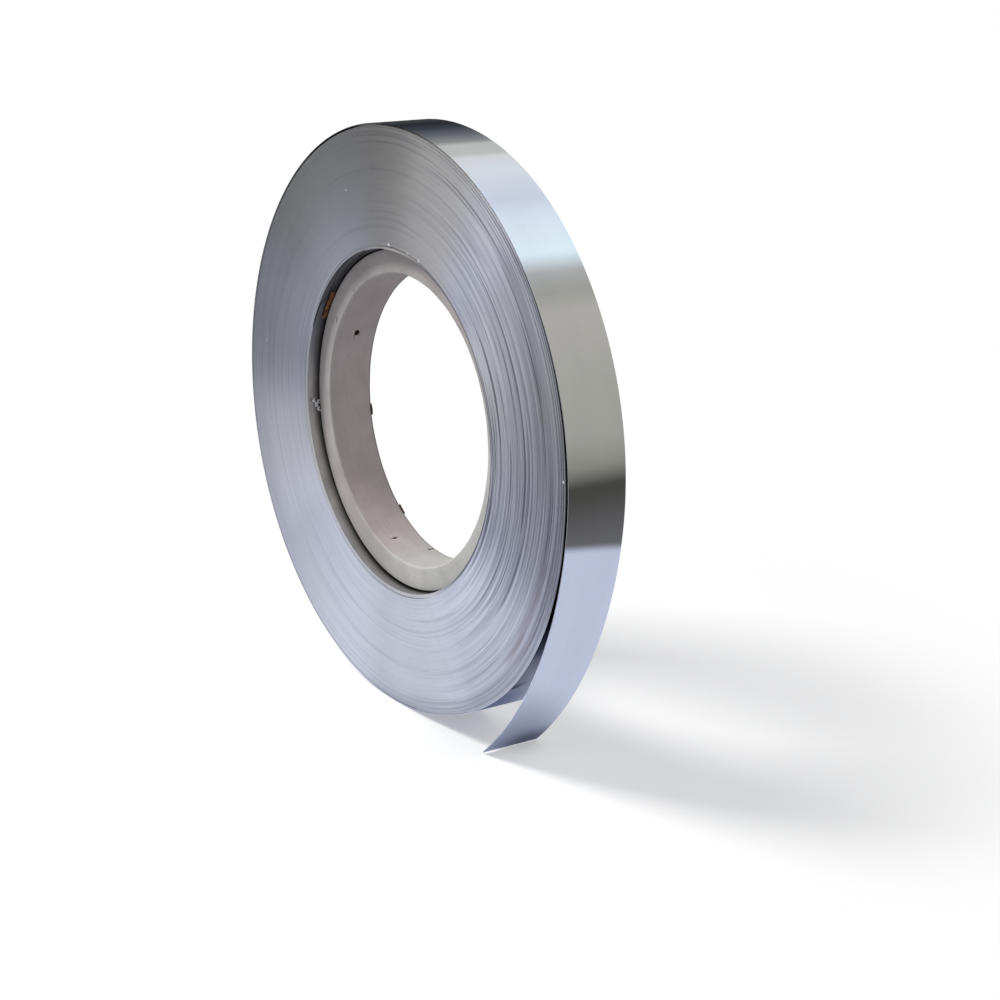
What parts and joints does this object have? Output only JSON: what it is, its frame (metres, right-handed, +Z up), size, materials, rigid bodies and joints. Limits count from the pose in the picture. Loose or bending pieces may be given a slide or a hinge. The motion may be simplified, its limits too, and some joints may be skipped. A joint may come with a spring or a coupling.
{
  "type": "channel letter coil",
  "caption": "Coil of flat aluminium strip wound on a paper core, standing on its rim with its free end sprung away; bent into the side walls of channel letters.",
  "frame": {"origin": "on the coil's axis, half way across the strip, inside the core's bore", "axes": "+Y along the coil's axis, away from the end where the core is set back; +Z up; +X towards the side where the free end comes down to the floor"},
  "size_m": [0.6025, 0.0666, 0.5988],
  "materials": {
    "wound_strip": "bright mill surface, satin slit edges",
    "core": "raw grey-brown paper"
  },
  "bodies": {
    "root": {"wound_strip": "wound_strip", "core": "core"}
  },
  "joints": []
}
